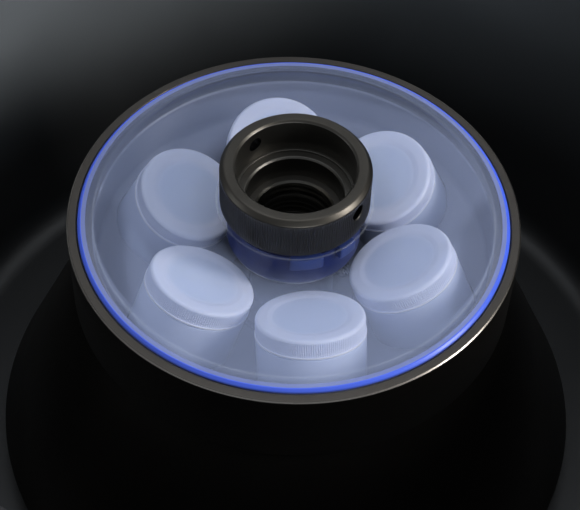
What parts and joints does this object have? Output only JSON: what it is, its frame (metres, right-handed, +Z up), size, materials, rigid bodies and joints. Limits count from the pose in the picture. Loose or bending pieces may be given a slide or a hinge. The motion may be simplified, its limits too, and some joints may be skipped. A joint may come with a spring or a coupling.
{
  "type": "high-speed centrifuge",
  "caption": "Bench-top high-speed centrifuge, hinged lid open, with a fixed-angle rotor of capped bottles under a clear screw-down rotor lid.",
  "frame": {"origin": "on the bench under the rotor axis, which is the middle of the footprint", "axes": "+Z up along the rotor axis, +Y to the back of the cabinet, +X to the operator's right"},
  "size_m": [0.64, 0.72, 1.075],
  "materials": {
    "cabinet_paint": "fine texture powder coat",
    "lid_moulding": "fine texture",
    "liner_enamel": "smooth enamel",
    "grey_plastic": "satin",
    "display_glass": "clear",
    "port_glass": "clear",
    "display_black": "matt",
    "circuit_board": "satin",
    "black_rubber": "matt",
    "zinc_sheet": "plain coat",
    "barrier_steel": "rolled",
    "chamber_black": "satin black",
    "rotor_anodised": "dark anodised",
    "knob_anodised": "black anodised",
    "hub_steel": "turned",
    "clear_blue_lid": "clear, faint blue",
    "cap_plastic": "translucent satin",
    "bottle_plastic": "translucent",
    "cast_motor": "cast",
    "core_iron": "varnished",
    "bearing_steel": "ground",
    "spring_steel": "oiled",
    "plated_steel": "zinc plated",
    "black_plastic": "moulded",
    "switch_plastic": "gloss",
    "button_grey": "satin",
    "button_green": "satin",
    "button_red": "satin"
  },
  "bodies": {
    "cabinet": {"base_pan": "zinc_sheet", "rubber_feet": "black_rubber", "cabinet_shell": "cabinet_paint", "rear_panel": "zinc_sheet", "chamber_bowl": "chamber_black", "chamber_gasket": "black_rubber", "barrier_ring": "barrier_steel", "shaft_boot": "black_rubber", "motor_mounts": "black_rubber", "motor_housing": "cast_motor", "motor_end_cap": "cast_motor", "stator": "core_iron", "bearing_outer_races": "bearing_steel", "power_supply": "plated_steel", "inverter_heatsink": "cast_motor", "fan_frame": "black_plastic", "power_inlet": "black_plastic", "latch_frame": "plated_steel", "hinge_brackets": "plated_steel", "control_fascia": "grey_plastic", "display_window": "display_glass", "display_module": "display_black", "control_board": "circuit_board"},
    "lid": {"lid_shell": "lid_moulding", "lid_liner": "liner_enamel", "port_tube": "grey_plastic", "port_window": "port_glass", "lid_handle": "grey_plastic", "lid_hinge_arms": "plated_steel", "lid_strikers": "plated_steel"},
    "latch": {"latch_bar": "plated_steel"},
    "spindle": {"drive_spindle": "hub_steel", "armature": "core_iron", "bearing_inner_races": "bearing_steel"},
    "rotor": {"rotor_body": "rotor_anodised", "rotor_hub": "hub_steel", "bottle_1": "bottle_plastic", "bottle_2": "bottle_plastic", "bottle_3": "bottle_plastic", "bottle_4": "bottle_plastic", "bottle_5": "bottle_plastic", "bottle_6": "bottle_plastic"},
    "tie_down": {"tie_down_screw": "hub_steel"},
    "rotor_cover": {"rotor_lid": "clear_blue_lid", "rotor_lid_seal": "black_rubber"},
    "cover_knob": {"rotor_lid_knob": "knob_anodised", "knob_retaining_ring": "spring_steel"},
    "fan": {"fan_impeller": "black_plastic"},
    "rocker": {"switch_rocker": "switch_plastic"},
    "speed_control": {"speed_dial": "black_plastic"},
    "time_control": {"time_dial": "black_plastic"},
    "lid_key": {"lid_button": "button_grey"},
    "start_key": {"start_button": "button_green"},
    "stop_key": {"stop_button": "button_red"},
    "cap_1": {"bottle_cap_1": "cap_plastic"},
    "cap_2": {"bottle_cap_2": "cap_plastic"},
    "cap_3": {"bottle_cap_3": "cap_plastic"},
    "cap_4": {"bottle_cap_4": "cap_plastic"},
    "cap_5": {"bottle_cap_5": "cap_plastic"},
    "cap_6": {"bottle_cap_6": "cap_plastic"}
  },
  "joints": [
    {"name": "lid_hinge", "type": "hinge", "parent": "cabinet", "child": "lid", "pos_m": [0, 0.302, 0.4365], "axis": [-1, 0, 0], "range_deg": [-88, 0], "stiffness_Nm_per_rad": 15, "springref_deg": 34.38},
    {"name": "latch_turn", "type": "hinge", "parent": "cabinet", "child": "latch", "pos_m": [0, -0.278, 0.3665], "axis": [1, 0, 0], "range_deg": [0, 30]},
    {"name": "spindle_spin", "type": "hinge", "parent": "cabinet", "child": "spindle", "pos_m": [0, 0, 0.12], "axis": [0, 0, 1], "continuous": true},
    {"name": "rotor_lift", "type": "slide", "parent": "spindle", "child": "rotor", "axis": [0, 0, 1], "range_m": [0, 0.24]},
    {"name": "tie_down_turn", "type": "hinge", "parent": "rotor", "child": "tie_down", "pos_m": [0, 0, 0.3], "axis": [0, 0, 1], "range_deg": [0, 1080]},
    {"name": "rotor_lid_lift", "type": "slide", "parent": "rotor", "child": "rotor_cover", "axis": [0, 0, 1], "range_m": [0, 0.1]},
    {"name": "knob_turn", "type": "hinge", "parent": "rotor_cover", "child": "cover_knob", "pos_m": [0, 0, 0.3805], "axis": [0, 0, 1], "range_deg": [0, 1080]},
    {"name": "fan_spin", "type": "hinge", "parent": "cabinet", "child": "fan", "pos_m": [-0.225, 0.34, 0.15], "axis": [0, 1, 0], "continuous": true},
    {"name": "switch_tip", "type": "hinge", "parent": "cabinet", "child": "rocker", "pos_m": [0.258, 0.3545, 0.092], "axis": [-1, 0, 0], "range_deg": [0, 18]},
    {"name": "speed_dial_turn", "type": "hinge", "parent": "cabinet", "child": "speed_control", "pos_m": [0.078, -0.33361, 0.36076], "axis": [0, -0.963, 0.2696], "continuous": true},
    {"name": "time_dial_turn", "type": "hinge", "parent": "cabinet", "child": "time_control", "pos_m": [0.172, -0.33361, 0.36076], "axis": [0, -0.963, 0.2696], "continuous": true},
    {"name": "lid_key_press", "type": "slide", "parent": "cabinet", "child": "lid_key", "axis": [0, 0.963, -0.2696], "range_m": [0, 0.0015], "stiffness_N_per_m": 400, "springref_m": -0.0005},
    {"name": "start_key_press", "type": "slide", "parent": "cabinet", "child": "start_key", "axis": [0, 0.963, -0.2696], "range_m": [0, 0.0015], "stiffness_N_per_m": 400, "springref_m": -0.0005},
    {"name": "stop_key_press", "type": "slide", "parent": "cabinet", "child": "stop_key", "axis": [0, 0.963, -0.2696], "range_m": [0, 0.0015], "stiffness_N_per_m": 400, "springref_m": -0.0005},
    {"name": "cap_turn_1", "type": "hinge", "parent": "rotor", "child": "cap_1", "pos_m": [0.01073, -0.06279, 0.3698], "axis": [-0.0712, 0.4166, 0.9063], "range_deg": [0, 450]},
    {"name": "cap_turn_2", "type": "hinge", "parent": "rotor", "child": "cap_2", "pos_m": [0.05974, -0.0221, 0.3698], "axis": [-0.3964, 0.1466, 0.9063], "range_deg": [0, 450]},
    {"name": "cap_turn_3", "type": "hinge", "parent": "rotor", "child": "cap_3", "pos_m": [0.04901, 0.04069, 0.3698], "axis": [-0.3252, -0.27, 0.9063], "range_deg": [0, 450]},
    {"name": "cap_turn_4", "type": "hinge", "parent": "rotor", "child": "cap_4", "pos_m": [-0.01073, 0.06279, 0.3698], "axis": [0.0712, -0.4166, 0.9063], "range_deg": [0, 450]},
    {"name": "cap_turn_5", "type": "hinge", "parent": "rotor", "child": "cap_5", "pos_m": [-0.05974, 0.0221, 0.3698], "axis": [0.3964, -0.1466, 0.9063], "range_deg": [0, 450]},
    {"name": "cap_turn_6", "type": "hinge", "parent": "rotor", "child": "cap_6", "pos_m": [-0.04901, -0.04069, 0.3698], "axis": [0.3252, 0.27, 0.9063], "range_deg": [0, 450]}
  ]
}
